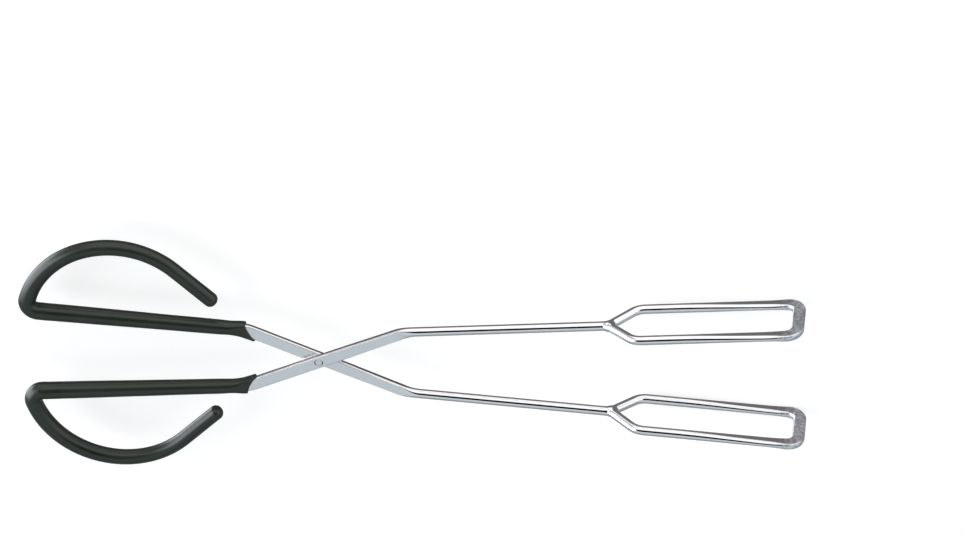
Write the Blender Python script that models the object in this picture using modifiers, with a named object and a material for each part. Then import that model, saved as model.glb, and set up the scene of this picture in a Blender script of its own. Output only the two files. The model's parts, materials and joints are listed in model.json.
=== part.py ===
"""Scissor tongs: two identical bent-wire arms crossed on a flush rivet, with dipped vinyl finger loops.

The tongs lie flat. +X points to the jaws, +Z is the hinge axis, and the origin is at the centre of
the bounding box's bottom face. Each arm is one length of round wire: pressed flat where the arms
cross, bent into an open finger loop at one end and into a rectangular jaw loop at the other. The jaw
loop stands at right angles to the arms, and its end is welded back to the arm.
"""

import math

import bmesh
import bpy
from mathutils import Matrix, Vector

MM = 0.001

# Wire
WIRE_RADIUS = 2.15 * MM
WIRE_SIDES = 12

# Pressed flat where the arms cross: half widths across and half thicknesses, at the hinge and far ends
FLAT_HALF_WIDTH = 3.1 * MM
FLAT_HALF_THICK = 1.25 * MM
JAW_END_HALF_WIDTH = 2.7 * MM
JAW_END_HALF_THICK = 1.45 * MM
PRESSED_CORNER = 0.3
FLAT_TO_HANDLE = 34.0 * MM
FLAT_TO_JAW = 38.0 * MM
FLAT_FADE = 10.0 * MM
ARM_GAP = 0.3 * MM
ARM_OFFSET = FLAT_HALF_THICK + ARM_GAP / 2

# Plan of one arm, from the hinge outwards
CROSS_ANGLE = math.radians(23.7)
HANDLE_ANGLE = math.radians(3.9)
JAW_ANGLE = math.radians(4.3)
HANDLE_ELBOW_RADIUS = 20.0 * MM
JAW_ELBOW_RADIUS = 25.0 * MM
HINGE_TO_HANDLE_ELBOW = 36.1 * MM
HINGE_TO_JAW_ELBOW = 43.1 * MM

# Finger loop
HANDLE_RUN = 93.5 * MM
HEEL_RADIUS = 5.0 * MM
HEEL_ANGLE = math.radians(103.0)
BOW_RADIUS = 40.8 * MM
BOW_ANGLE = math.radians(117.0)
FREE_END_RUN = 21.6 * MM

# Jaw loop
JAW_RUN = 91.3 * MM
JAW_HALF_HEIGHT = 12.31 * MM
SHOULDER_ANGLE = math.radians(45.0)
SHOULDER_RADIUS = 8.0 * MM
ROOT_TO_TIP = 84.8 * MM
TIP_RADIUS = 5.5 * MM
TIP_HALF_WIDTH = 2.85 * MM
TIP_HALF_THICK = 1.5 * MM
TIP_FADE = 55.0 * MM
TIP_SQUARE_FADE = 14.0 * MM
LEG_END_GAP = 2.4 * MM
WELD_RADIUS = 2.55 * MM
WELD_OFFSET = 1.7 * MM

# Vinyl dip
GRIP_GAP = 0.3 * MM
GRIP_WALL = 0.92 * MM
GRIP_LIP_WALL = 0.55 * MM
GRIP_LIP_FADE = 16.0 * MM
GRIP_HEEL_EXTRA = 0.6 * MM
GRIP_HEEL_SPREAD = 55.0 * MM
GRIP_BLANK_START = 20.0 * MM
GRIP_EDGE = Vector((-31.2 * MM, -12.9 * MM, 0))
GRIP_EDGE_ANGLE = math.radians(-22.0)
GRIP_CUTTER = 30.0 * MM
GRIP_END_CAP = 3.0 * MM

# Rivet
RIVET_SHANK_RADIUS = 1.3 * MM
RIVET_HEAD_RADIUS = 1.75 * MM
RIVET_HEAD_PROUD = 0.12 * MM
RIVET_HEAD_DEPTH = 0.6 * MM
RIVET_SIDES = 24
HOLE_CLEARANCE = 0.15 * MM
COUNTERSINK_CLEARANCE = 0.2 * MM

# Hinge position: the box's bottom centre is the origin
HINGE = Vector((-41.5 * MM, 0, 16.55 * MM))


def clear_scene():
    for item in list(bpy.data.objects):
        bpy.data.objects.remove(item, do_unlink=True)


def new_collection(name):
    collection = bpy.data.collections.new(name)
    bpy.context.scene.collection.children.link(collection)
    return collection


def material(name, color, roughness, metallic):
    made = bpy.data.materials.new(name)
    made.use_nodes = True
    shader = made.node_tree.nodes["Principled BSDF"]
    shader.inputs["Base Color"].default_value = (*color, 1)
    shader.inputs["Roughness"].default_value = roughness
    shader.inputs["Metallic"].default_value = metallic
    return made


def smoothstep(low, high, value):
    t = min(1, max(0, (value - low) / (high - low)))
    return t * t * (3 - 2 * t)


def mix(a, b, t):
    return a + (b - a) * t


class Wire:
    """A wire bent in steps, as a bending machine does: straight runs and bends, each with its frame."""

    def __init__(self, heading):
        self.point = Vector((0, 0, 0))
        self.along = Vector((math.cos(heading), math.sin(heading), 0))
        self.normal = Vector((0, 0, 1))
        self.length = 0
        self.stations = []
        self.mark()

    def mark(self):
        side = self.normal.cross(self.along)
        self.stations.append((self.length, self.point.copy(), self.along.copy(), side, self.normal.copy()))

    def run(self, length, divisions=1):
        for _ in range(divisions):
            self.point = self.point + self.along * (length / divisions)
            self.length += length / divisions
            self.mark()

    def bend(self, radius, angle, axis, divisions):
        """Turn about an axis by angle, along an arc of the given centreline radius."""
        step = angle / divisions
        chord = 2 * radius * math.sin(abs(step) / 2)
        for _ in range(divisions):
            half_turn = Matrix.Rotation(step / 2, 3, axis)
            self.along = half_turn @ self.along
            self.point = self.point + self.along * chord
            self.along = half_turn @ self.along
            self.normal = half_turn @ half_turn @ self.normal
            self.length += radius * abs(step)
            self.mark()

    def bend_plan(self, radius, angle, divisions):
        self.bend(radius, angle, self.normal.copy(), divisions)

    def bend_up(self, radius, angle, divisions):
        self.bend(radius, -angle, self.normal.cross(self.along), divisions)


def tangent_length(radius, angle):
    return radius * math.tan(abs(angle) / 2)


def handle_wire():
    """From the hinge to the finger loop's free end."""
    elbow = CROSS_ANGLE - HANDLE_ANGLE
    elbow_cut = tangent_length(HANDLE_ELBOW_RADIUS, elbow)
    wire = Wire(math.pi + CROSS_ANGLE)
    wire.run(HINGE_TO_HANDLE_ELBOW - elbow_cut, 7)
    wire.bend_plan(HANDLE_ELBOW_RADIUS, -elbow, 5)
    wire.run(FLAT_FADE, 2)
    wire.run(HANDLE_RUN - elbow_cut - FLAT_FADE, 5)
    wire.bend_plan(HEEL_RADIUS, HEEL_ANGLE, 9)
    wire.bend_plan(BOW_RADIUS, BOW_ANGLE, 14)
    wire.run(FREE_END_RUN)
    return wire


def jaw_wire():
    """From the hinge, round the jaw loop, and back to its root, with the distance to its tip."""
    elbow = CROSS_ANGLE - JAW_ANGLE
    elbow_cut = tangent_length(JAW_ELBOW_RADIUS, elbow)
    shoulder_cut = tangent_length(SHOULDER_RADIUS, SHOULDER_ANGLE)
    shoulder = JAW_HALF_HEIGHT / math.sin(SHOULDER_ANGLE)
    shoulder_reach = JAW_HALF_HEIGHT / math.tan(SHOULDER_ANGLE)
    rail = ROOT_TO_TIP - shoulder_reach - shoulder_cut - TIP_RADIUS
    quarter = math.pi / 2

    wire = Wire(CROSS_ANGLE)
    wire.run(HINGE_TO_JAW_ELBOW - elbow_cut, 8)
    wire.bend_plan(JAW_ELBOW_RADIUS, -elbow, 5)
    wire.run(FLAT_FADE, 3)
    wire.run(JAW_RUN - elbow_cut - FLAT_FADE - shoulder_cut)
    wire.bend_up(SHOULDER_RADIUS, SHOULDER_ANGLE, 4)
    wire.run(shoulder - 2 * shoulder_cut)
    wire.bend_up(SHOULDER_RADIUS, -SHOULDER_ANGLE, 4)
    wire.run(rail - TIP_FADE)
    wire.run(TIP_FADE, 8)
    wire.bend_up(TIP_RADIUS, -quarter, 6)
    wire.run(JAW_HALF_HEIGHT - TIP_RADIUS)
    tip_at = wire.length
    wire.run(JAW_HALF_HEIGHT - TIP_RADIUS)
    wire.bend_up(TIP_RADIUS, -quarter, 6)
    wire.run(TIP_FADE, 8)
    wire.run(rail - TIP_FADE)
    wire.bend_up(SHOULDER_RADIUS, -SHOULDER_ANGLE, 4)
    wire.run(shoulder - shoulder_cut - LEG_END_GAP)
    return wire, tip_at


def flat_press(distance):
    """How far the wire is pressed flat at a distance from the hinge, negative towards the handle."""
    if distance < 0:
        return 1 - smoothstep(FLAT_TO_HANDLE, FLAT_TO_HANDLE + FLAT_FADE, -distance)
    return 1 - smoothstep(FLAT_TO_JAW, FLAT_TO_JAW + FLAT_FADE, distance)


def section_halves(distance, tip_at, tip_half_run):
    """Half sizes across and along the hinge axis, and how square the section is."""
    press = flat_press(distance)
    if press > 0:
        to_jaw = smoothstep(0, FLAT_TO_JAW, distance)
        across = mix(FLAT_HALF_WIDTH, JAW_END_HALF_WIDTH, to_jaw)
        thick = mix(FLAT_HALF_THICK, JAW_END_HALF_THICK, to_jaw)
        return mix(WIRE_RADIUS, across, press), mix(WIRE_RADIUS, thick, press), press, PRESSED_CORNER
    beyond = abs(distance - tip_at) - tip_half_run
    press = 1 - smoothstep(0, TIP_FADE, beyond)
    corner = mix(PRESSED_CORNER, 1, smoothstep(0, TIP_SQUARE_FADE, beyond))
    return mix(WIRE_RADIUS, TIP_HALF_THICK, press), mix(WIRE_RADIUS, TIP_HALF_WIDTH, press), press, corner


def section_point(angle, half_side, half_normal, press, corner):
    """A point of the section: a circle where press is 0, flat on two sides where it is 1."""
    flat_gain = 1 / math.cos(math.pi / 6)

    def wide(value):
        return math.copysign(abs(value) ** corner, value)

    def flattened(value):
        return max(-1, min(1, value * flat_gain))

    c, s = math.cos(angle), math.sin(angle)
    if half_normal < half_side:
        u, v = wide(c), flattened(s)
    else:
        u, v = flattened(c), wide(s)
    return half_side * mix(c, u, press), half_normal * mix(s, v, press)


def ring_points(station, halves):
    """The section's points round one station of the wire."""
    _, point, _, side, normal = station
    points = []
    for k in range(WIRE_SIDES):
        across, up = section_point(2 * math.pi * k / WIRE_SIDES, *halves)
        points.append(point + side * across + normal * up)
    return points


def loft(name, rings):
    """A skin through rings of points, with a flat cap at each end."""
    skin = bmesh.new()
    loops = [[skin.verts.new(point) for point in ring] for ring in rings]
    skin.faces.new(loops[0])
    skin.faces.new(loops[-1])
    for a, b in zip(loops, loops[1:]):
        for k in range(len(a)):
            j = (k + 1) % len(a)
            skin.faces.new((a[k], a[j], b[j], b[k]))
    bmesh.ops.recalc_face_normals(skin, faces=skin.faces)
    mesh = bpy.data.meshes.new(name)
    skin.to_mesh(mesh)
    skin.free()
    return mesh


def turned_mesh(name, profile, collection):
    """A turned solid from a profile of (radius, height) points, listed from its top to its bottom."""
    outline = bpy.data.meshes.new(name)
    edges = [(k, k + 1) for k in range(len(profile) - 1)]
    outline.from_pydata([(radius, 0, height) for radius, height in profile], edges, [])
    turned = bpy.data.objects.new(name, outline)
    collection.objects.link(turned)
    screw = turned.modifiers.new("turn", "SCREW")
    screw.steps = RIVET_SIDES
    screw.render_steps = RIVET_SIDES
    screw.use_merge_vertices = True
    screw.merge_threshold = 0.00001
    return turned


def as_cutter(item):
    item.hide_render = True
    item.display_type = "WIRE"
    return item


def boolean(target, tool, operation):
    modifier = target.modifiers.new(operation.lower(), "BOOLEAN")
    modifier.operation = operation
    modifier.solver = "EXACT"
    modifier.object = tool


def finished_mesh(item, name):
    """The object's mesh with its modifiers applied, raised to the arm's own plane; the object goes."""
    bpy.context.view_layer.update()
    evaluated = item.evaluated_get(bpy.context.evaluated_depsgraph_get())
    mesh = bpy.data.meshes.new_from_object(evaluated)
    mesh.transform(Matrix.Translation((0, 0, ARM_OFFSET)))
    bpy.data.objects.remove(item, do_unlink=True)
    mesh.name = name
    return mesh


def arm_stations():
    """The whole arm's stations, from the handle's free end to the jaw loop's end, and its tip."""
    handle = [(-d, p, -t, -s, n) for d, p, t, s, n in reversed(handle_wire().stations)]
    jaw, tip_at = jaw_wire()
    return handle + jaw.stations[1:], tip_at


def rivet_hole(cutters):
    """Hole and countersink for the rivet, seen from the arm's outer face."""
    top = FLAT_HALF_THICK + ARM_GAP
    hole = RIVET_SHANK_RADIUS + HOLE_CLEARANCE
    sink = RIVET_HEAD_RADIUS + COUNTERSINK_CLEARANCE
    profile = [(0, top), (sink, top), (sink, FLAT_HALF_THICK), (hole, FLAT_HALF_THICK - RIVET_HEAD_DEPTH),
               (hole, -top), (0, -top)]
    return as_cutter(turned_mesh("rivet_hole", profile, cutters))


def weld_bead(root, cutters):
    """The bead that fills the corner between the arm and the jaw loop's returning leg."""
    bead = bmesh.new()
    bmesh.ops.create_uvsphere(bead, u_segments=WIRE_SIDES, v_segments=8, radius=WELD_RADIUS)
    mesh = bpy.data.meshes.new("weld_bead")
    bead.to_mesh(mesh)
    bead.free()
    item = bpy.data.objects.new("weld_bead", mesh)
    item.location = root
    cutters.objects.link(item)
    return as_cutter(item)


def arm_mesh(cutters):
    """One arm, centred on its own plane, with its hinge at the origin."""
    stations, tip_at = arm_stations()
    tip_half_run = JAW_HALF_HEIGHT - TIP_RADIUS + TIP_RADIUS * math.pi / 4
    rings = [ring_points(s, section_halves(s[0], tip_at, tip_half_run)) for s in stations]
    wire = bpy.data.objects.new("arm_wire", loft("arm_wire", rings))
    cutters.objects.link(wire)

    _, leg_end, leg_along, _, _ = stations[-1]
    weld_at = leg_end + leg_along * (LEG_END_GAP - WELD_OFFSET)
    boolean(wire, weld_bead(weld_at, cutters), "UNION")
    boolean(wire, rivet_hole(cutters), "DIFFERENCE")
    return finished_mesh(wire, "arm")


def grip_wall(distance, heel_at):
    """Vinyl thickness: thin at the lip, and gathered at the heel of the finger loop."""
    lip = smoothstep(FLAT_TO_HANDLE, FLAT_TO_HANDLE + GRIP_LIP_FADE, distance)
    heel = math.exp(-((distance - heel_at) / GRIP_HEEL_SPREAD) ** 2)
    return mix(GRIP_LIP_WALL, GRIP_WALL, lip) + GRIP_HEEL_EXTRA * heel


def edge_cutter(cutters):
    """A box whose near face is the slanted line that the dip stopped at."""
    bpy.ops.mesh.primitive_cube_add(size=GRIP_CUTTER, rotation=(0, 0, GRIP_EDGE_ANGLE))
    box = bpy.context.object
    box.name = "grip_edge_cutter"
    box.location = GRIP_EDGE + box.rotation_euler.to_matrix() @ Vector((GRIP_CUTTER / 2, 0, 0))
    for collection in list(box.users_collection):
        collection.objects.unlink(box)
    cutters.objects.link(box)
    return as_cutter(box)


def grip_mesh(cutters):
    """The vinyl sleeve, open where the arm comes out and closed round the wire's free end."""
    stations = [s for s in handle_wire().stations if s[0] > GRIP_BLANK_START]
    heel_at = HINGE_TO_HANDLE_ELBOW + HANDLE_RUN
    outer, inner = [], []
    for station in stations:
        across, thick, press, corner = section_halves(-station[0], math.inf, 0)
        wall = GRIP_GAP + grip_wall(station[0], heel_at)
        outer.append(ring_points(station, (across + wall, thick + wall, press, corner)))
        inner.append(ring_points(station, (across + GRIP_GAP, thick + GRIP_GAP, press, corner)))

    end, end_point, along, side, normal = stations[-1]
    radius = WIRE_RADIUS + GRIP_GAP + grip_wall(end, heel_at)
    for step in range(1, 4):
        turn = step * math.pi / 8
        cap = (end, end_point + along * (GRIP_END_CAP * math.sin(turn)), along, side, normal)
        outer.append(ring_points(cap, (radius * math.cos(turn), radius * math.cos(turn), 0, 1)))
    floor = (end, end_point + along * GRIP_GAP, along, side, normal)
    inner.append(ring_points(floor, (WIRE_RADIUS + GRIP_GAP, WIRE_RADIUS + GRIP_GAP, 0, 1)))

    sleeve = bpy.data.objects.new("grip", loft("grip", list(reversed(outer)) + inner))
    cutters.objects.link(sleeve)
    boolean(sleeve, edge_cutter(cutters), "DIFFERENCE")
    return finished_mesh(sleeve, "grip")


def rivet_object(parts):
    """A flush rivet: a shank with a low countersunk head at each end."""
    face = ARM_OFFSET + FLAT_HALF_THICK
    top = face + RIVET_HEAD_PROUD
    under = face - RIVET_HEAD_DEPTH
    rim = RIVET_HEAD_RADIUS - RIVET_HEAD_PROUD
    half = [(0, top), (rim, top), (RIVET_HEAD_RADIUS, face), (RIVET_SHANK_RADIUS, under)]
    profile = half + [(radius, -height) for radius, height in reversed(half)]
    rivet = turned_mesh("pivot_rivet", profile, parts)
    rivet.location = HINGE
    return rivet


def dressed(mesh, finish):
    """The mesh with its one material, smooth except at its sharp edges."""
    mesh.materials.clear()
    mesh.materials.append(finish)
    mesh.shade_smooth()
    mesh.set_sharp_from_angle(angle=math.radians(35))
    return mesh


def place(name, mesh, parts, flipped):
    """An arm piece on the hinge axis; the rear arm is the front arm turned over about X."""
    item = bpy.data.objects.new(name, mesh)
    item.location = HINGE
    item.rotation_euler = (math.pi if flipped else 0, 0, 0)
    parts.objects.link(item)


def build():
    clear_scene()
    parts = new_collection("scissor_tongs")
    cutters = new_collection("cutters")
    chrome = material("chromed_wire", (0.72, 0.74, 0.76), 0.12, 1)
    steel = material("rivet_steel", (0.62, 0.64, 0.66), 0.3, 1)
    vinyl = material("dipped_vinyl", (0.012, 0.017, 0.014), 0.35, 0)

    arm = dressed(arm_mesh(cutters), chrome)
    grip = dressed(grip_mesh(cutters), vinyl)
    for side, flipped in (("rear", True), ("front", False)):
        place(side + "_arm_wire", arm, parts, flipped)
        place(side + "_grip", grip, parts, flipped)
    dressed(rivet_object(parts).data, steel)


build()
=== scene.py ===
"""Looks of the scissor tongs: two chromed wire arms, their dipped vinyl finger loops and a peened rivet.

Each arm follows the same bends as its CAD wire, with a finer skin. The pressed flats, the countersink at
the hinge and the filleted weld at the jaw loop's root are all in the mesh. The vinyl is bonded to the
wire, with a rolled lip where the dip stopped and creases at the heel of the finger loop.
"""

import bisect
import json
import math

import bmesh
import bpy
import numpy as np
from mathutils import Matrix, Vector, noise


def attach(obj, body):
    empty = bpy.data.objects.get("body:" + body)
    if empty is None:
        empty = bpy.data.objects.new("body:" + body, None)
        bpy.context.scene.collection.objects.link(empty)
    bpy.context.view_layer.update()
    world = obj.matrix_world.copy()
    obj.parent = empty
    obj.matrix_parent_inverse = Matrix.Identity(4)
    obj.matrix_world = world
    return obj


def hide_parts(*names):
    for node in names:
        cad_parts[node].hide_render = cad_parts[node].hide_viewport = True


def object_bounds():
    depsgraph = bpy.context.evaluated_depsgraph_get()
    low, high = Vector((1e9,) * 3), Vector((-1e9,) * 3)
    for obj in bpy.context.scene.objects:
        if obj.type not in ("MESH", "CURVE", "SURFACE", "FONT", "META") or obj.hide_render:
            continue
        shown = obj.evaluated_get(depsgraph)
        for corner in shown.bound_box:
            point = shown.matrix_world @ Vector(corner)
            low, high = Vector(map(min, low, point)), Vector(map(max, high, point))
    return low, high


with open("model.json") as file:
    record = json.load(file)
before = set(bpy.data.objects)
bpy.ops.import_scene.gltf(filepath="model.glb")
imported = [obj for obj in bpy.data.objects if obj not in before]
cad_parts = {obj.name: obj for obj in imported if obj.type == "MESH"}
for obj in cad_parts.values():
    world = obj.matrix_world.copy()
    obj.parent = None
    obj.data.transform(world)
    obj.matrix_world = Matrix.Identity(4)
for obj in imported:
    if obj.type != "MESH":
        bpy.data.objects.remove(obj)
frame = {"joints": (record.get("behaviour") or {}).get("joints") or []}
cad_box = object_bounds()

MM = 0.001
HINGE = Vector(frame["joints"][0]["pos_m"])

# Wire, and how finely it is drawn
WIRE_RADIUS = 2.15 * MM
WIRE_SIDES = 48
RUN_STEP = 4.0 * MM
FINE_STEP = 0.45 * MM
BEND_STEP = math.radians(3.0)

# Pressed flat where the arms cross: half widths across and half thicknesses, at the hinge and far ends
FLAT_HALF_WIDTH = 3.1 * MM
FLAT_HALF_THICK = 1.25 * MM
JAW_END_HALF_WIDTH = 2.7 * MM
JAW_END_HALF_THICK = 1.45 * MM
FLAT_TO_HANDLE = 34.0 * MM
FLAT_TO_JAW = 38.0 * MM
FLAT_FADE = 10.0 * MM
FLAT_STEP = 1.2 * MM
PRESSED_CORNER = 0.3
ARM_GAP = 0.1 * MM
ARM_OFFSET = FLAT_HALF_THICK + ARM_GAP / 2

# Plan of one arm, from the hinge outwards
CROSS_ANGLE = math.radians(23.7)
HANDLE_ANGLE = math.radians(3.9)
JAW_ANGLE = math.radians(4.3)
HANDLE_ELBOW_RADIUS = 20.0 * MM
JAW_ELBOW_RADIUS = 25.0 * MM
HINGE_TO_HANDLE_ELBOW = 36.1 * MM
HINGE_TO_JAW_ELBOW = 43.1 * MM

# Finger loop
HANDLE_RUN = 93.5 * MM
HEEL_RADIUS = 5.0 * MM
HEEL_ANGLE = math.radians(103.0)
BOW_RADIUS = 40.8 * MM
BOW_ANGLE = math.radians(117.0)
FREE_END_RUN = 21.6 * MM

# Jaw loop
JAW_RUN = 91.3 * MM
JAW_HALF_HEIGHT = 12.31 * MM
SHOULDER_ANGLE = math.radians(45.0)
SHOULDER_RADIUS = 8.0 * MM
ROOT_TO_TIP = 84.8 * MM
TIP_RADIUS = 5.5 * MM
TIP_HALF_WIDTH = 2.85 * MM
TIP_HALF_THICK = 1.5 * MM
TIP_FADE = 55.0 * MM
TIP_SQUARE_FADE = 14.0 * MM

# Weld at the jaw loop's root: how deep the leg's end is buried, the fillet, and how its skin is found
LEG_BURIED_AT = 0.3 * MM
WELD_REACH = 9.0 * MM
WELD_FILLET = 1.5 * MM
WELD_RIPPLE = 0.35
WELD_RIPPLE_SCALE = 700
WELD_PLUG_RADIUS = 1.2 * MM
WELD_PASSES = 4
WELD_PROBE = 0.01 * MM
WELD_LEAST_SLOPE = 0.2

# Vinyl dip: its walls outside the metal, thin at the lip and thick at the heel, and its domed end
GRIP_OUTSIDE = 0.3 * MM
GRIP_WALL = 0.92 * MM
GRIP_LIP_WALL = 0.55 * MM
GRIP_LIP_FADE = 16.0 * MM
GRIP_HEEL_EXTRA = 0.6 * MM
GRIP_HEEL_SPREAD = 55.0 * MM
GRIP_BOND = 0.12 * MM
GRIP_END_CAP = 3.0 * MM
LIP_ROUND = 0.5 * MM
LIP_STEPS = 7
CAP_STEPS = 9
FINE_RINGS = 5
FINE_RING_STEP = 0.4 * MM

# The dip's edge across the flat: a point on it, its slant and half length, its hollow and its lean
GRIP_EDGE = Vector((-31.2 * MM, -12.9 * MM, 0))
GRIP_EDGE_ANGLE = math.radians(-22.0)
GRIP_EDGE_FADE = 14.0 * MM
GRIP_EDGE_HALF = 5.2 * MM
GRIP_EDGE_HOLLOW = 0.8 * MM
GRIP_EDGE_LEAN = 0.15 * MM
LIP_SEARCH = (22.0 * MM, 46.0 * MM)
LIP_SEARCH_STEPS = 24

# Unevenness of the dip: slow waves everywhere, and creases near the heel
HEEL_AT = HINGE_TO_HANDLE_ELBOW + HANDLE_RUN
WAVE_HEIGHT = 0.05 * MM
WAVE_SCALE = 60
CREASE_HEIGHT = 0.14 * MM
CREASE_SCALE = 260
CREASE_SPREAD = 9.0 * MM
CREASE_FRACTAL = (0.8, 2.2, 3)
TEXTURE_RADIUS = 3.0 * MM

# Rivet and its countersink
RIVET_SHANK_RADIUS = 1.3 * MM
RIVET_HEAD_RADIUS = 1.55 * MM
RIVET_PROUD = 0.03 * MM
RIVET_DOME = 0.35
RIVET_EDGE = 0.035 * MM
RIVET_DOME_STEPS = 5
RIVET_EDGE_STEPS = 6
HOLE_CLEARANCE = 0.02 * MM
SINK_RADIUS = 1.57 * MM
SINK_FLOOR_RADIUS = 1.55 * MM
SINK_DEPTH = 0.45 * MM
SINK_LIP = 0.02 * MM
SINK_STEP = 0.1 * MM
SINK_OVAL = 1.28
RIVET_SIDES = 72

# Camera: tilt from the zenith towards +Y, pan about Y, roll about the line of sight, and its aim
CAMERA_TILT = math.radians(34.0)
CAMERA_PAN = math.radians(6.35)
CAMERA_ROLL = math.radians(-1.82)
CAMERA_DISTANCE = 3089.0 * MM
CAMERA_LENS = 255.2
CAMERA_SENSOR = 36.0
AIM_RIGHT = 74.7 * MM
AIM_UP = 41.1 * MM

# Chrome: pairs of plating colours and of roughness on round wire, on the pressed flat and at the tip; the
# tip's darker blue-grey plate is partly a painted reflection
BRIGHT_PLATE = ((0.93, 0.94, 0.95), (0.88, 0.9, 0.92))
SATIN_PLATE = ((0.86, 0.88, 0.9), (0.93, 0.95, 0.96))
DULL_PLATE_AND_PAINTED_REFLECTION = ((0.54, 0.58, 0.64), (0.97, 0.99, 1.0))
BRIGHT_ROUGHNESS = (0.04, 0.09)
SATIN_ROUGHNESS = (0.24, 0.36)
DULL_ROUGHNESS = (0.36, 0.56)
# Painted dark reflection on the pressed flats' side edges
RIM_REFLECTION_COLOUR = (0.4, 0.33, 0.34)
# Painted shade darkening the countersink, and the width of its fade at the sink's rim
SINK_SHADE_COLOUR = (0.1, 0.07, 0.07)
SINK_SHADE_WIDTH = 0.05 * MM

# The painted dark reflection along the flats' side edges: it fades in over the first range across the wire,
# and out over the second up
RIM_ACROSS = (2.3 * MM, 2.5 * MM)
RIM_UP = (0.55 * MM, 0.85 * MM)

# Vinyl, rivet and floor
VINYL_COLOURS = ((0.008, 0.0135, 0.0072), (0.0125, 0.019, 0.0115))
VINYL_SCUFF = (0.03, 0.036, 0.032)
VINYL_ROUGHNESS = (0.3, 0.44)
RIVET_COLOURS = ((0.82, 0.84, 0.86), (0.92, 0.94, 0.96))
RIVET_ROUGHNESS = (0.22, 0.36)
FLOOR_SIZE = 60
FLOOR_COLOURS = ((0.57, 0.56, 0.55), (0.61, 0.6, 0.59))
FLOOR_GLOW = 0.62

# Studio round the tongs, by angle in degrees from the zenith towards +Y
STUDIO = (
    (-180, (0.20, 0.19, 0.19)),
    (-146, (0.34, 0.34, 0.35)),
    (-100, (0.28, 0.29, 0.30)),
    (-60, (0.32, 0.35, 0.37)),
    (-34, (0.57, 0.62, 0.65)),
    (-12, (0.62, 0.66, 0.69)),
    (0, (0.72, 0.76, 0.79)),
    (38, (1.15, 1.15, 1.15)),
    (112, (1.15, 1.15, 1.15)),
    (127, (0.17, 0.155, 0.16)),
    (165, (0.15, 0.14, 0.145)),
    (180, (0.20, 0.19, 0.19)),
)
BACKDROP = (1.0, 1.0, 1.0)

# A dark gap overhead between its lights: each pair is where it starts and is full
GAP_FROM = (math.radians(-5), math.radians(0))
GAP_TO = (math.radians(45), math.radians(38))
GAP_HALF_LENGTH = (0.62, 0.45)
GAP_COLOUR = (0.01, 0.01, 0.01)

# A bright card at the handle end, and the shaded end of the large light beside it
CARD_LEFT = (-0.58, -0.72)
CARD_FRONT = (-0.35, -0.1)
CARD_BACK = (0.5, 0.35)
CARD_COLOUR = (4.0, 4.2, 4.5)
SHADE_LEFT = (-0.42, -0.56)
SHADE_BACK = (0.5, 0.62)
SHADE_COLOUR = (0.5, 0.5, 0.52)


def smoothstep(low, high, value):
    t = min(1, max(0, (value - low) / (high - low)))
    return t * t * (3 - 2 * t)


def mix(a, b, t):
    return a + (b - a) * t


def tangent_length(radius, angle):
    return radius * math.tan(abs(angle) / 2)


class Wire:
    """A wire bent in steps, as a bending machine does: straight runs and bends, each with its frame."""

    def __init__(self, heading):
        self.point = Vector((0, 0, 0))
        self.along = Vector((math.cos(heading), math.sin(heading), 0))
        self.normal = Vector((0, 0, 1))
        self.length = 0
        self.stations = []
        self.mark()

    def mark(self):
        side = self.normal.cross(self.along)
        self.stations.append((self.length, self.point.copy(), self.along.copy(), side, self.normal.copy()))

    def run(self, length, step=RUN_STEP):
        divisions = max(1, round(length / step))
        for _ in range(divisions):
            self.point = self.point + self.along * (length / divisions)
            self.length += length / divisions
            self.mark()

    def bend(self, radius, angle, axis):
        """Turn about an axis by angle, along an arc of the given centreline radius."""
        divisions = max(2, round(abs(angle) / BEND_STEP))
        step = angle / divisions
        chord = 2 * radius * math.sin(abs(step) / 2)
        for _ in range(divisions):
            half_turn = Matrix.Rotation(step / 2, 3, axis)
            self.along = half_turn @ self.along
            self.point = self.point + self.along * chord
            self.along = half_turn @ self.along
            self.normal = half_turn @ half_turn @ self.normal
            self.length += radius * abs(step)
            self.mark()

    def bend_plan(self, radius, angle):
        self.bend(radius, angle, self.normal.copy())

    def bend_up(self, radius, angle):
        self.bend(radius, -angle, self.normal.cross(self.along))


def handle_wire():
    """From the hinge to the finger loop's free end."""
    elbow = CROSS_ANGLE - HANDLE_ANGLE
    elbow_cut = tangent_length(HANDLE_ELBOW_RADIUS, elbow)
    wire = Wire(math.pi + CROSS_ANGLE)
    wire.run(HINGE_TO_HANDLE_ELBOW - elbow_cut, FLAT_STEP)
    wire.bend_plan(HANDLE_ELBOW_RADIUS, -elbow)
    wire.run(FLAT_FADE, FLAT_STEP)
    wire.run(HANDLE_RUN - elbow_cut - FLAT_FADE, FLAT_STEP)
    wire.bend_plan(HEEL_RADIUS, HEEL_ANGLE)
    wire.bend_plan(BOW_RADIUS, BOW_ANGLE)
    wire.run(FREE_END_RUN, FLAT_STEP)
    return wire


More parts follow.
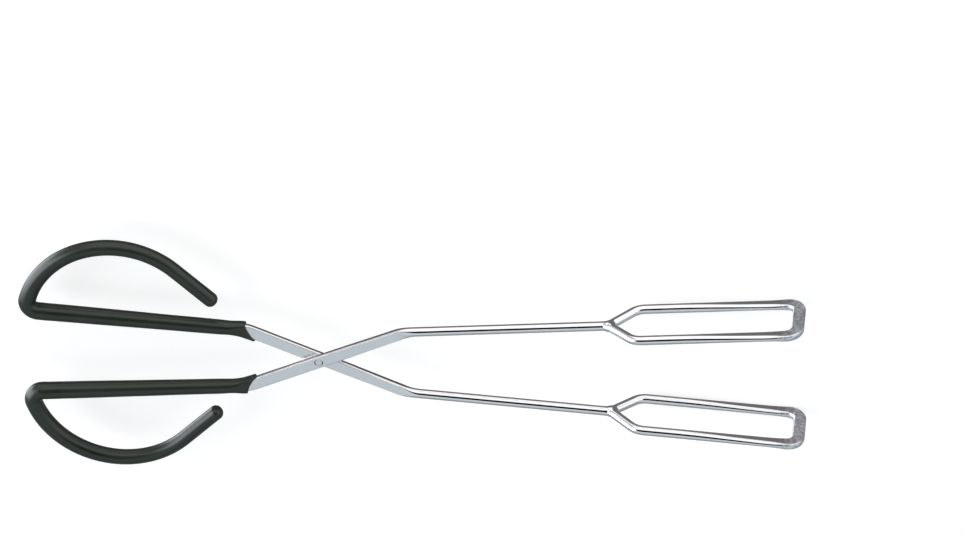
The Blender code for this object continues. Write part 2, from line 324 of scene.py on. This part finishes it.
def jaw_wire():
    """From the hinge, round the jaw loop, and back to its root, with the distances to its tip and root."""
    elbow = CROSS_ANGLE - JAW_ANGLE
    elbow_cut = tangent_length(JAW_ELBOW_RADIUS, elbow)
    shoulder_cut = tangent_length(SHOULDER_RADIUS, SHOULDER_ANGLE)
    shoulder = JAW_HALF_HEIGHT / math.sin(SHOULDER_ANGLE)
    shoulder_reach = JAW_HALF_HEIGHT / math.tan(SHOULDER_ANGLE)
    rail = ROOT_TO_TIP - shoulder_reach - shoulder_cut - TIP_RADIUS
    quarter = math.pi / 2

    wire = Wire(CROSS_ANGLE)
    wire.run(HINGE_TO_JAW_ELBOW - elbow_cut, FLAT_STEP)
    wire.bend_plan(JAW_ELBOW_RADIUS, -elbow)
    wire.run(FLAT_FADE, FLAT_STEP)
    wire.run(JAW_RUN - elbow_cut - FLAT_FADE - shoulder_cut - WELD_REACH)
    wire.run(WELD_REACH, FINE_STEP)
    root_at = wire.length + shoulder_cut
    wire.bend_up(SHOULDER_RADIUS, SHOULDER_ANGLE)
    wire.run(shoulder - 2 * shoulder_cut, FINE_STEP)
    wire.bend_up(SHOULDER_RADIUS, -SHOULDER_ANGLE)
    wire.run(rail - TIP_FADE)
    wire.run(TIP_FADE, FLAT_STEP)
    wire.bend_up(TIP_RADIUS, -quarter)
    wire.run(JAW_HALF_HEIGHT - TIP_RADIUS, FLAT_STEP)
    tip_at = wire.length
    wire.run(JAW_HALF_HEIGHT - TIP_RADIUS, FLAT_STEP)
    wire.bend_up(TIP_RADIUS, -quarter)
    wire.run(TIP_FADE, FLAT_STEP)
    wire.run(rail - TIP_FADE)
    wire.bend_up(SHOULDER_RADIUS, -SHOULDER_ANGLE)
    wire.run(shoulder - shoulder_cut - LEG_BURIED_AT, FINE_STEP)
    return wire, tip_at, root_at


def tip_press(distance, tip_at, fade=TIP_FADE):
    half_run = JAW_HALF_HEIGHT - TIP_RADIUS + TIP_RADIUS * math.pi / 4
    return 1 - smoothstep(half_run, half_run + fade, abs(distance - tip_at))


def flat_press(distance):
    """How far the wire is pressed flat at a distance from the hinge, negative towards the handle."""
    if distance < 0:
        return 1 - smoothstep(FLAT_TO_HANDLE, FLAT_TO_HANDLE + FLAT_FADE, -distance)
    return 1 - smoothstep(FLAT_TO_JAW, FLAT_TO_JAW + FLAT_FADE, distance)


def section_halves(distance, tip_at):
    """Half sizes across and along the hinge axis, and how square the section is."""
    press = flat_press(distance)
    if press > 0:
        to_jaw = smoothstep(0, FLAT_TO_JAW, distance)
        across = mix(FLAT_HALF_WIDTH, JAW_END_HALF_WIDTH, to_jaw)
        thick = mix(FLAT_HALF_THICK, JAW_END_HALF_THICK, to_jaw)
        return mix(WIRE_RADIUS, across, press), mix(WIRE_RADIUS, thick, press), press, PRESSED_CORNER
    press = tip_press(distance, tip_at)
    corner = mix(1, PRESSED_CORNER, tip_press(distance, tip_at, TIP_SQUARE_FADE))
    return mix(WIRE_RADIUS, TIP_HALF_THICK, press), mix(WIRE_RADIUS, TIP_HALF_WIDTH, press), press, corner


def section_point(angle, half_side, half_normal, press, corner):
    """A point of the section: a circle where press is 0, flat on two sides where it is 1."""
    flat_gain = 1 / math.cos(math.pi / 6)

    def wide(value):
        return math.copysign(abs(value) ** corner, value)

    def flattened(value):
        return max(-1, min(1, value * flat_gain))

    c, s = math.cos(angle), math.sin(angle)
    if half_normal < half_side:
        u, v = wide(c), flattened(s)
    else:
        u, v = flattened(c), wide(s)
    return half_side * mix(c, u, press), half_normal * mix(s, v, press)


def ring_points(station, halves):
    _, point, _, side, normal = station
    points = []
    for k in range(WIRE_SIDES):
        across, up = section_point(2 * math.pi * k / WIRE_SIDES, *halves)
        points.append(point + side * across + normal * up)
    return points


def loft(name, rings):
    """A skin through rings of points, with a flat cap at each end."""
    skin = bmesh.new()
    loops = [[skin.verts.new(point) for point in ring] for ring in rings]
    skin.faces.new(loops[0])
    skin.faces.new(loops[-1])
    for a, b in zip(loops, loops[1:]):
        for k in range(len(a)):
            j = (k + 1) % len(a)
            skin.faces.new((a[k], a[j], b[j], b[k]))
    bmesh.ops.recalc_face_normals(skin, faces=skin.faces)
    mesh = bpy.data.meshes.new(name)
    skin.to_mesh(mesh)
    skin.free()
    return mesh


def new_object(name, mesh):
    made = bpy.data.objects.new(name, mesh)
    bpy.context.scene.collection.objects.link(made)
    return made


def turned_object(name, profile):
    """A turned solid from a profile of (radius, height) points, listed from its top to its bottom."""
    outline = bpy.data.meshes.new(name)
    edges = [(k, k + 1) for k in range(len(profile) - 1)]
    outline.from_pydata([(radius, 0, height) for radius, height in profile], edges, [])
    turned = new_object(name, outline)
    screw = turned.modifiers.new("turn", "SCREW")
    screw.steps = RIVET_SIDES
    screw.render_steps = RIVET_SIDES
    screw.use_merge_vertices = True
    screw.merge_threshold = 0.000001
    return turned


def applied(item):
    """The object's mesh with its modifiers applied; the object goes."""
    bpy.context.view_layer.update()
    evaluated = item.evaluated_get(bpy.context.evaluated_depsgraph_get())
    mesh = bpy.data.meshes.new_from_object(evaluated)
    bpy.data.objects.remove(item, do_unlink=True)
    return mesh


def boolean(target, tool, operation):
    modifier = target.modifiers.new(operation.lower(), "BOOLEAN")
    modifier.operation = operation
    modifier.solver = "EXACT"
    modifier.use_self = operation == "UNION"
    modifier.object = tool


def coordinates(mesh):
    found = np.zeros(len(mesh.vertices) * 3)
    mesh.vertices.foreach_get("co", found)
    return found.reshape(-1, 3)


def segment_distances(points, line):
    """For each point: its distance to the nearest segment of a line, that segment, and the share along it."""
    best = np.full(len(points), np.inf)
    nearest = np.zeros(len(points), int)
    share = np.zeros(len(points))
    for k in range(len(line) - 1):
        run = line[k + 1] - line[k]
        t = np.clip((points - line[k]) @ run / (run @ run), 0, 1)
        gap = np.linalg.norm(points - line[k] - t[:, None] * run, axis=1)
        closer = gap < best
        best[closer], nearest[closer], share[closer] = gap[closer], k, t[closer]
    return best, nearest, share


def fillet_weld(mesh, stations, root_at):
    """Moves the skin round the jaw loop's root onto a smooth union of the arm and the returning leg."""
    ending = stations[-1][0]
    arm = np.array([s[1] for s in stations if abs(s[0] - root_at) < 2 * WELD_REACH])
    leg = np.array([s[1] for s in stations if ending - s[0] < 2 * WELD_REACH])
    root = np.array(stations[-1][1])
    points = coordinates(mesh)
    near = np.linalg.norm(points - root, axis=1) < WELD_REACH
    moved = points[near]
    ripple = [noise.noise(Vector(p) * WELD_RIPPLE_SCALE) for p in moved]
    reach = WELD_FILLET * (1 + WELD_RIPPLE * np.array(ripple))

    def field(p):
        """Distance outside the union, its crease rounded over the fillet's reach."""
        a = segment_distances(p, arm)[0] - WIRE_RADIUS
        b = segment_distances(p, leg)[0] - WIRE_RADIUS
        h = np.maximum(reach - np.abs(a - b), 0) / reach
        return np.minimum(a, b) - h * h * reach / 4

    for _ in range(WELD_PASSES):
        slope = np.zeros_like(moved)
        for axis in range(3):
            shift = np.zeros(3)
            shift[axis] = WELD_PROBE
            slope[:, axis] = (field(moved + shift) - field(moved - shift)) / (2 * WELD_PROBE)
        size = np.maximum((slope ** 2).sum(axis=1), WELD_LEAST_SLOPE)
        moved = moved - slope * (field(moved) / size)[:, None]
    points[near] = moved
    mesh.vertices.foreach_set("co", points.ravel())
    mesh.update()


def arm_stations():
    """Stations from the finger loop's free end to the jaw loop's root, and where its tip and root are."""
    handle = [(-d, p, -t, -s, n) for d, p, t, s, n in reversed(handle_wire().stations)]
    jaw, tip_at, root_at = jaw_wire()
    return handle + jaw.stations[1:], tip_at, root_at


def welded_arm(stations, tip_at, root_at):
    """The arm's skin, with its jaw loop closed by a filleted weld."""
    rings = [ring_points(s, section_halves(s[0], tip_at)) for s in stations]
    wire = new_object("arm", loft("arm", rings))

    bead = bmesh.new()
    bmesh.ops.create_icosphere(bead, subdivisions=3, radius=WELD_PLUG_RADIUS)
    plug_mesh = bpy.data.meshes.new("weld_plug")
    bead.to_mesh(plug_mesh)
    bead.free()
    plug = new_object("weld_plug", plug_mesh)
    plug.location = stations[-1][1]
    boolean(wire, plug, "UNION")
    mesh = applied(wire)
    bpy.data.objects.remove(plug, do_unlink=True)
    fillet_weld(mesh, stations, root_at)
    return mesh


def drilled(mesh):
    """The arm with its countersunk rivet hole, a little wider along X."""
    wire = new_object("arm", mesh)
    top = FLAT_HALF_THICK + ARM_GAP
    sink_floor = FLAT_HALF_THICK - SINK_DEPTH
    hole = RIVET_SHANK_RADIUS + HOLE_CLEARANCE
    profile = [
        (0, top),
        (SINK_RADIUS + ARM_GAP, top),
        (SINK_RADIUS, FLAT_HALF_THICK - SINK_LIP),
        (SINK_FLOOR_RADIUS, sink_floor),
        (hole, sink_floor - SINK_STEP),
        (hole, -top),
        (0, -top),
    ]
    cutter = turned_object("rivet_hole", profile)
    cutter.scale = (SINK_OVAL, 1, 1)
    boolean(wire, cutter, "DIFFERENCE")
    mesh = applied(wire)
    bpy.data.objects.remove(cutter, do_unlink=True)
    return mesh


def arm_mesh():
    """One arm, centred on its own plane, with its hinge at the origin, and its stations and tip."""
    stations, tip_at, root_at = arm_stations()
    return drilled(welded_arm(stations, tip_at, root_at)), stations, tip_at


def lay_out(mesh, stations, tip_at, offset):
    """Stores each point's place on the straight, unbent wire, and how far the wire is pressed there."""
    points = coordinates(mesh)
    line = np.array([s[1] for s in stations])
    distances = np.array([s[0] for s in stations])
    sides = np.array([s[3] for s in stations])
    normals = np.array([s[4] for s in stations])
    _, nearest, share = segment_distances(points, line)
    along = distances[nearest] + share * (distances[nearest + 1] - distances[nearest])
    centre = line[nearest] + share[:, None] * (line[nearest + 1] - line[nearest])
    across = ((points - centre) * sides[nearest]).sum(axis=1)
    up = ((points - centre) * normals[nearest]).sum(axis=1)
    place = np.stack([along + offset, across, up], axis=1)
    mesh.attributes.new("laid_out", "FLOAT_VECTOR", "POINT").data.foreach_set("vector", place.ravel())
    stamped = [flat_press(d) for d in along]
    hammered = [tip_press(d, tip_at, TIP_SQUARE_FADE) for d in along]
    mesh.attributes.new("stamped", "FLOAT", "POINT").data.foreach_set("value", stamped)
    mesh.attributes.new("hammered", "FLOAT", "POINT").data.foreach_set("value", hammered)


def station_at(stations, distance):
    """The wire's frame at any distance between its stations, or straight on past its end."""
    if distance >= stations[-1][0]:
        d, point, along, side, normal = stations[-1]
        return distance, point + along * (distance - d), along, side, normal
    k = max(1, bisect.bisect_right([s[0] for s in stations], distance))
    low, high = stations[k - 1], stations[k]
    t = (distance - low[0]) / (high[0] - low[0])
    blended = [low[i].lerp(high[i], t) for i in range(1, 5)]
    return distance, blended[0], blended[1].normalized(), blended[2].normalized(), blended[3].normalized()


def grip_wall(distance):
    """Vinyl thickness outside the metal: thin at the lip, and gathered at the heel of the loop."""
    lip = smoothstep(FLAT_TO_HANDLE, FLAT_TO_HANDLE + GRIP_LIP_FADE, distance)
    heel = math.exp(-((distance - HEEL_AT) / GRIP_HEEL_SPREAD) ** 2)
    return GRIP_OUTSIDE + mix(GRIP_LIP_WALL, GRIP_WALL, lip) + GRIP_HEEL_EXTRA * heel


def skin_point(stations, distance, angle, extra):
    """A point at an angle round the handle's wire, extra outside its metal."""
    station = station_at(stations, distance)
    across, thick, press, corner = section_halves(-distance, math.inf)
    x, y = section_point(angle, across + extra, thick + extra, press, corner)
    return station[1] + station[3] * x + station[4] * y


def lip_distance(stations, angle):
    """Where the dip's slanted, hollow edge crosses the wire's skin at this angle."""
    facing = Vector((math.cos(GRIP_EDGE_ANGLE), math.sin(GRIP_EDGE_ANGLE), 0))
    slant = Vector((-facing.y, facing.x, 0))
    low, high = LIP_SEARCH
    for _ in range(LIP_SEARCH_STEPS):
        middle = (low + high) / 2
        offset = skin_point(stations, middle, angle, GRIP_LIP_WALL) - GRIP_EDGE
        share = offset.dot(slant) / GRIP_EDGE_HALF
        hollow = GRIP_EDGE_HOLLOW * (share ** 2 - 1 / 3)
        if offset.dot(facing) > hollow + GRIP_EDGE_LEAN * (1 + share):
            low = middle
        else:
            high = middle
    return low


def grip_texture(place, distance):
    """Uneven thickness of the dip: slow waves everywhere, and creases round the heel."""
    slow = noise.noise(place * WAVE_SCALE) * WAVE_HEIGHT
    creased = math.exp(-((distance - HEEL_AT) / CREASE_SPREAD) ** 2)
    fine = noise.fractal(place * CREASE_SCALE, *CREASE_FRACTAL) * CREASE_HEIGHT
    return slow + fine * creased


class Grip:
    """The vinyl over one finger loop, drawn as rings round the wire."""

    def __init__(self, offset):
        self.offset = offset
        self.stations = handle_wire().stations
        self.angles = [2 * math.pi * k / WIRE_SIDES for k in range(WIRE_SIDES)]
        self.lips = [lip_distance(self.stations, angle) for angle in self.angles]
        self.mean_lip = sum(self.lips) / len(self.lips)
        self.wall_start = self.mean_lip + LIP_ROUND

    def ring(self, distance, height, textured=False):
        """One ring, shaped like the lip near it: height is a function of the distance at each point."""
        points = []
        fade = 1 - smoothstep(self.mean_lip, self.mean_lip + GRIP_EDGE_FADE, distance)
        for angle, lip in zip(self.angles, self.lips):
            at = distance + (lip - self.mean_lip) * fade
            extra = height(at)
            if textured:
                around = (TEXTURE_RADIUS * math.cos(angle), TEXTURE_RADIUS * math.sin(angle))
                extra += grip_texture(Vector((at + self.offset, *around)), at)
            points.append(skin_point(self.stations, at, angle, extra))
        return points

    def lip(self):
        """Rings over the rolled edge, from inside the metal's skin out to the full wall."""
        rings = []
        for step in range(LIP_STEPS):
            turn = math.pi / 2 * step / LIP_STEPS
            share = math.sin(turn)
            rings.append(self.ring(self.mean_lip + LIP_ROUND * (1 - math.cos(turn)),
                                   lambda at, share=share: mix(-GRIP_BOND, grip_wall(at), share)))
        return rings

    def wall(self):
        """Rings along the outside, close together behind the lip."""
        fine_end = self.wall_start + FINE_RINGS * FINE_RING_STEP
        places = [self.wall_start + step * FINE_RING_STEP for step in range(FINE_RINGS)]
        places += [s[0] for s in self.stations if s[0] > fine_end]
        return [self.ring(place, grip_wall, True) for place in places]

    def end(self):
        """Rings of the dome past the wire's free end."""
        ending, end_point, along, side, normal = self.stations[-1]
        radius = WIRE_RADIUS + grip_wall(ending)
        rings = []
        for step in range(1, CAP_STEPS):
            turn = math.pi / 2 * step / CAP_STEPS
            point = end_point + along * (GRIP_END_CAP * math.sin(turn))
            half = radius * math.cos(turn)
            rings.append(ring_points((ending, point, along, side, normal), (half, half, 0, 1)))
        return rings

    def bond(self):
        """Rings just inside the metal's skin."""
        places = [s[0] for s in self.stations if s[0] > self.wall_start]
        return [self.ring(place, lambda at: -GRIP_BOND) for place in places]

    def mesh(self, name):
        """A closed skin from the dome over the wall to the lip, and back inside to the free end."""
        outer = self.lip() + self.wall() + self.end()
        return loft(name, list(reversed(outer)) + self.bond())


def rivet_mesh():
    """A rivet peened flush at both ends, its heads a little domed with rounded rims."""
    face = ARM_OFFSET + FLAT_HALF_THICK
    dome = RIVET_HEAD_RADIUS - RIVET_EDGE
    half = []
    for step in range(RIVET_DOME_STEPS):
        share = step / RIVET_DOME_STEPS
        half.append((dome * share, face + RIVET_PROUD * (1 - RIVET_DOME * share ** 2)))
    rim = face + RIVET_PROUD * (1 - RIVET_DOME) - RIVET_EDGE
    for step in range(RIVET_EDGE_STEPS + 1):
        turn = math.pi / 2 * step / RIVET_EDGE_STEPS
        half.append((dome + RIVET_EDGE * math.sin(turn), rim + RIVET_EDGE * math.cos(turn)))
    half.append((RIVET_SHANK_RADIUS, face - SINK_DEPTH - SINK_STEP))
    profile = half + [(radius, -height) for radius, height in reversed(half)]
    rivet = turned_object("rivet", profile)
    mesh = applied(rivet)
    place = coordinates(mesh)
    mesh.attributes.new("laid_out", "FLOAT_VECTOR", "POINT").data.foreach_set("vector", place.ravel())
    return mesh


class Nodes:
    """Short calls for a material's or world's node tree."""

    def __init__(self, tree):
        self.tree = tree

    def add(self, kind, **settings):
        node = self.tree.nodes.new(kind)
        for key, value in settings.items():
            setattr(node, key, value)
        return node

    def link(self, source, target):
        self.tree.links.new(source, target)

    def attribute(self, name):
        return self.add("ShaderNodeAttribute", attribute_name=name)

    def stretched(self, source, scale):
        """The vector scaled by (x, y, z)."""
        node = self.add("ShaderNodeVectorMath", operation="MULTIPLY")
        self.link(source, node.inputs[0])
        node.inputs[1].default_value = scale
        return node.outputs[0]

    def axis(self, vector, name):
        node = self.add("ShaderNodeSeparateXYZ")
        self.link(vector, node.inputs[0])
        return node.outputs[name]

    def noise(self, vector, scale, detail=3, roughness=0.55, distortion=0):
        node = self.add("ShaderNodeTexNoise")
        self.link(vector, node.inputs["Vector"])
        node.inputs["Scale"].default_value = scale
        node.inputs["Detail"].default_value = detail
        node.inputs["Roughness"].default_value = roughness
        node.inputs["Distortion"].default_value = distortion
        return node.outputs["Fac"]

    def spread(self, value, low, high, to_low=0, to_high=1):
        """Maps a value from one range to another, held at its ends."""
        node = self.add("ShaderNodeMapRange")
        self.link(value, node.inputs["Value"])
        numbers = {"From Min": low, "From Max": high, "To Min": to_low, "To Max": to_high}
        for key, number in numbers.items():
            node.inputs[key].default_value = number
        return node.outputs["Result"]

    def math(self, operation, a, b=None):
        node = self.add("ShaderNodeMath", operation=operation)
        for socket, value in zip(node.inputs, (a, b)):
            if value is None:
                continue
            if isinstance(value, (int, float)):
                socket.default_value = value
            else:
                self.link(value, socket)
        return node.outputs[0]

    def product(self, first, *others):
        for other in others:
            first = self.math("MULTIPLY", first, other)
        return first

    def colours(self, factor, a, b):
        """Two colours mixed; either may be a colour or a socket."""
        node = self.add("ShaderNodeMix", data_type="RGBA")
        self.link(factor, node.inputs["Factor"])
        for socket, value in zip((node.inputs[6], node.inputs[7]), (a, b)):
            if isinstance(value, tuple):
                socket.default_value = (*value, 1)
            else:
                self.link(value, socket)
        return node.outputs[2]

    def blend(self, factor, a, b):
        """Two values mixed."""
        node = self.add("ShaderNodeMix")
        for socket, value in zip((node.inputs["Factor"], node.inputs[2], node.inputs[3]), (factor, a, b)):
            self.link(value, socket)
        return node.outputs[0]

    def bump(self, height, strength, distance, below=None):
        node = self.add("ShaderNodeBump")
        node.inputs["Strength"].default_value = strength
        node.inputs["Distance"].default_value = distance
        self.link(height, node.inputs["Height"])
        if below is not None:
            self.link(below, node.inputs["Normal"])
        return node.outputs["Normal"]


def new_material(name, metallic):
    made = bpy.data.materials.new(name)
    made.use_nodes = True
    shader = made.node_tree.nodes["Principled BSDF"]
    shader.inputs["Metallic"].default_value = metallic
    return made, Nodes(made.node_tree), shader


def painted_rim_reflection(n, place):
    """Where a dark reflection is painted: 1 along the flat's upper and lower edges, 0 elsewhere."""
    across = n.math("ABSOLUTE", n.axis(place, "Y"))
    up = n.math("ABSOLUTE", n.axis(place, "Z"))
    return n.product(n.spread(across, *RIM_ACROSS), n.spread(up, *RIM_UP, 1, 0))


def painted_sink_shade(n):
    """Where shade is painted: 1 in the countersink, 0 outside it."""
    well = n.add("ShaderNodeVectorMath", operation="LENGTH")
    place = n.add("ShaderNodeTexCoord").outputs["Object"]
    n.link(n.stretched(place, (1 / SINK_OVAL, 1, 0)), well.inputs[0])
    return n.spread(well.outputs["Value"], SINK_RADIUS, SINK_RADIUS + SINK_SHADE_WIDTH, 1, 0)


def chrome_material():
    """Bright plating on drawn wire; satin where dies stamped the wire flat, rougher at the tip, where the
    mottled plate is also darkened blue-grey as a painted reflection.
    """
    made, n, shader = new_material("chromed_wire_plating", 1)
    place = n.attribute("laid_out").outputs["Vector"]
    stamped = n.attribute("stamped").outputs["Fac"]
    hammered = n.attribute("hammered").outputs["Fac"]
    cloud = n.noise(place, scale=260, detail=4)
    mottle = n.noise(place, scale=800, roughness=0.6)
    blotch = n.noise(place, scale=950, roughness=0.6)

    bright = n.colours(n.spread(cloud, 0.35, 0.65), *BRIGHT_PLATE)
    satin = n.colours(n.spread(mottle, 0.3, 0.7), *SATIN_PLATE)
    # The tip's mottled dull plating, darkened blue-grey as a painted reflection
    dull_and_reflected = n.colours(n.spread(blotch, 0.35, 0.65), *DULL_PLATE_AND_PAINTED_REFLECTION)
    plated = n.colours(hammered, n.colours(stamped, bright, satin), dull_and_reflected)
    # A dark reflection is painted along the pressed flats' side edges
    rim_reflected = n.colours(n.product(painted_rim_reflection(n, place), stamped), plated, RIM_REFLECTION_COLOUR)
    # Shade is painted into the countersink
    n.link(n.colours(painted_sink_shade(n), rim_reflected, SINK_SHADE_COLOUR), shader.inputs["Base Color"])

    drawn_shine = n.spread(cloud, 0.3, 0.7, *BRIGHT_ROUGHNESS)
    stamped_shine = n.spread(mottle, 0.3, 0.7, *SATIN_ROUGHNESS)
    tip_shine = n.spread(blotch, 0.3, 0.7, *DULL_ROUGHNESS)
    shine = n.blend(hammered, n.blend(stamped, drawn_shine, stamped_shine), tip_shine)
    n.link(shine, shader.inputs["Roughness"])

    wave = n.noise(n.stretched(place, (0.35, 1, 1)), scale=300, detail=2)
    streak = n.noise(n.stretched(place, (0.06, 1, 1)), scale=2600, detail=2)
    waves = n.bump(wave, strength=0.12, distance=0.2 * MM)
    streaks = n.bump(streak, strength=0.05, distance=0.05 * MM, below=waves)
    dents = n.bump(n.product(mottle, stamped), strength=0.05, distance=0.2 * MM, below=streaks)
    pits = n.bump(n.product(blotch, hammered), strength=0.3, distance=0.3 * MM, below=dents)
    n.link(pits, shader.inputs["Normal"])
    return made


def vinyl_material():
    """Dipped vinyl: near-black green, semi-gloss, with a soft orange peel and faint scuffs."""
    made, n, shader = new_material("dipped_vinyl_coat", 0)
    place = n.add("ShaderNodeTexCoord").outputs["Object"]
    cloud = n.noise(place, scale=45)
    scratch = n.noise(place, scale=520, detail=5, roughness=0.7, distortion=1.5)
    scuff = n.spread(scratch, 0.66, 0.78, 0, 0.5)
    colour = n.colours(n.spread(cloud, 0.3, 0.7), *VINYL_COLOURS)
    n.link(n.colours(scuff, colour, VINYL_SCUFF), shader.inputs["Base Color"])
    n.link(n.spread(n.math("ADD", cloud, scuff), 0.3, 1.0, *VINYL_ROUGHNESS), shader.inputs["Roughness"])
    shader.inputs["Coat Weight"].default_value = 0.2
    shader.inputs["Coat Roughness"].default_value = 0.16
    peel = n.bump(n.noise(place, scale=900, detail=2), strength=0.12, distance=0.4 * MM)
    grain = n.bump(n.noise(place, scale=3200), strength=0.06, distance=0.1 * MM, below=peel)
    n.link(grain, shader.inputs["Normal"])
    return made


def rivet_material():
    """Plain steel, dented a little by the peening tool."""
    made, n, shader = new_material("peened_rivet_steel", 1)
    place = n.attribute("laid_out").outputs["Vector"]
    blow = n.noise(place, scale=1400, detail=2)
    fine = n.noise(place, scale=5200, detail=4)
    n.link(n.colours(n.spread(blow, 0.3, 0.7), *RIVET_COLOURS), shader.inputs["Base Color"])
    n.link(n.spread(fine, 0.3, 0.7, *RIVET_ROUGHNESS), shader.inputs["Roughness"])
    blows = n.bump(blow, strength=0.25, distance=0.3 * MM)
    n.link(n.bump(fine, strength=0.08, distance=0.1 * MM, below=blows), shader.inputs["Normal"])
    return made


def floor_material():
    """A pale, plain floor with a little light of its own, so that it stays near white."""
    made, n, shader = new_material("pale_floor", 0)
    place = n.add("ShaderNodeTexCoord").outputs["Object"]
    cloud = n.spread(n.noise(place, scale=3, detail=2), 0.3, 0.7)
    n.link(n.colours(cloud, *FLOOR_COLOURS), shader.inputs["Base Color"])
    shader.inputs["Roughness"].default_value = 0.9
    shader.inputs["Specular IOR Level"].default_value = 0.1
    shader.inputs["Emission Color"].default_value = (1, 1, 1, 1)
    shader.inputs["Emission Strength"].default_value = FLOOR_GLOW
    return made


def piece(name, mesh, finish, flipped, body, node):
    """A piece on the hinge axis, riding on its body; the rear half is the front half turned over."""
    mesh.materials.clear()
    mesh.materials.append(finish)
    mesh.shade_smooth()
    mesh.set_sharp_from_angle(angle=math.radians(40))
    mesh.name = name
    made = new_object(name, mesh)
    made.location = HINGE
    made.rotation_euler = (math.pi if flipped else 0, 0, 0)
    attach(made, body)
    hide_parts(node)
    return made


def raised(mesh):
    mesh.transform(Matrix.Translation((0, 0, ARM_OFFSET)))
    return mesh


def build_tongs():
    chrome, vinyl, steel = chrome_material(), vinyl_material(), rivet_material()
    arm, stations, tip_at = arm_mesh()
    for offset, half in enumerate(("rear", "front")):
        flipped = half == "rear"
        body = half + "_half"
        wire = arm.copy()
        lay_out(wire, stations, tip_at, offset)
        piece(half + "_arm_chrome", raised(wire), chrome, flipped, body, half + "_arm_wire")
        coat = raised(Grip(offset).mesh(half + "_grip"))
        piece(half + "_grip_vinyl", coat, vinyl, flipped, body, half + "_grip")
    piece("pivot_rivet_peened", rivet_mesh(), steel, False, "rear_half", "pivot_rivet")


def build_camera():
    data = bpy.data.cameras.new("camera")
    data.lens = CAMERA_LENS
    data.sensor_width = CAMERA_SENSOR
    data.clip_end = 60
    camera = bpy.data.objects.new("camera", data)
    bpy.context.scene.collection.objects.link(camera)
    turn = (Matrix.Rotation(CAMERA_PAN, 3, "Y") @ Matrix.Rotation(-CAMERA_TILT, 3, "X")
            @ Matrix.Rotation(CAMERA_ROLL, 3, "Z"))
    right, up, back = turn.col
    aim = HINGE + right * AIM_RIGHT + up * AIM_UP
    camera.matrix_world = Matrix.Translation(aim + back * CAMERA_DISTANCE) @ turn.to_4x4()
    bpy.context.scene.camera = camera


def build_floor():
    bpy.ops.mesh.primitive_plane_add(size=FLOOR_SIZE, location=(0, 0, cad_box[0].z))
    floor = bpy.context.object
    floor.name = "floor"
    floor.data.materials.append(floor_material())
    floor.visible_glossy = False


def studio_colour(n):
    """The studio's colour by direction: a ramp about the X axis, with the gap, the shade and the card."""
    direction = n.add("ShaderNodeTexCoord").outputs["Generated"]
    x, y, z = [n.axis(direction, name) for name in "XYZ"]
    angle = n.math("ARCTAN2", y, z)
    ramp = n.add("ShaderNodeValToRGB")
    n.link(n.spread(angle, -math.pi, math.pi), ramp.inputs["Fac"])
    elements = ramp.color_ramp.elements
    while len(elements) > 1:
        elements.remove(elements[-1])
    for k, (degrees, colour) in enumerate(STUDIO):
        place = (degrees + 180) / 360
        element = elements[0] if k == 0 else elements.new(place)
        element.position = place
        element.color = (*colour, 1)

    gap = n.product(n.spread(angle, *GAP_FROM), n.spread(angle, *GAP_TO),
                    n.spread(n.math("ABSOLUTE", x), *GAP_HALF_LENGTH))
    shade = n.product(n.spread(x, *SHADE_LEFT), n.spread(y, *SHADE_BACK))
    card = n.product(n.spread(x, *CARD_LEFT), n.spread(y, *CARD_FRONT), n.spread(y, *CARD_BACK))
    colour = n.colours(gap, ramp.outputs["Color"], GAP_COLOUR)
    colour = n.colours(shade, colour, SHADE_COLOUR)
    return n.colours(card, colour, CARD_COLOUR)


def build_world():
    """A studio of large soft lights with a dark gap overhead, and a plain pale backdrop."""
    world = bpy.data.worlds.new("studio")
    bpy.context.scene.world = world
    world.use_nodes = True
    n = Nodes(world.node_tree)
    studio = world.node_tree.nodes["Background"]
    n.link(studio_colour(n), studio.inputs["Color"])
    backdrop = n.add("ShaderNodeBackground")
    backdrop.inputs["Color"].default_value = (*BACKDROP, 1)
    seen = n.add("ShaderNodeMixShader")
    n.link(n.add("ShaderNodeLightPath").outputs["Is Camera Ray"], seen.inputs["Fac"])
    n.link(studio.outputs[0], seen.inputs[1])
    n.link(backdrop.outputs[0], seen.inputs[2])
    n.link(seen.outputs[0], world.node_tree.nodes["World Output"].inputs["Surface"])


build_tongs()
build_camera()
build_floor()
build_world()
bpy.context.scene.view_settings.view_transform = "Standard"
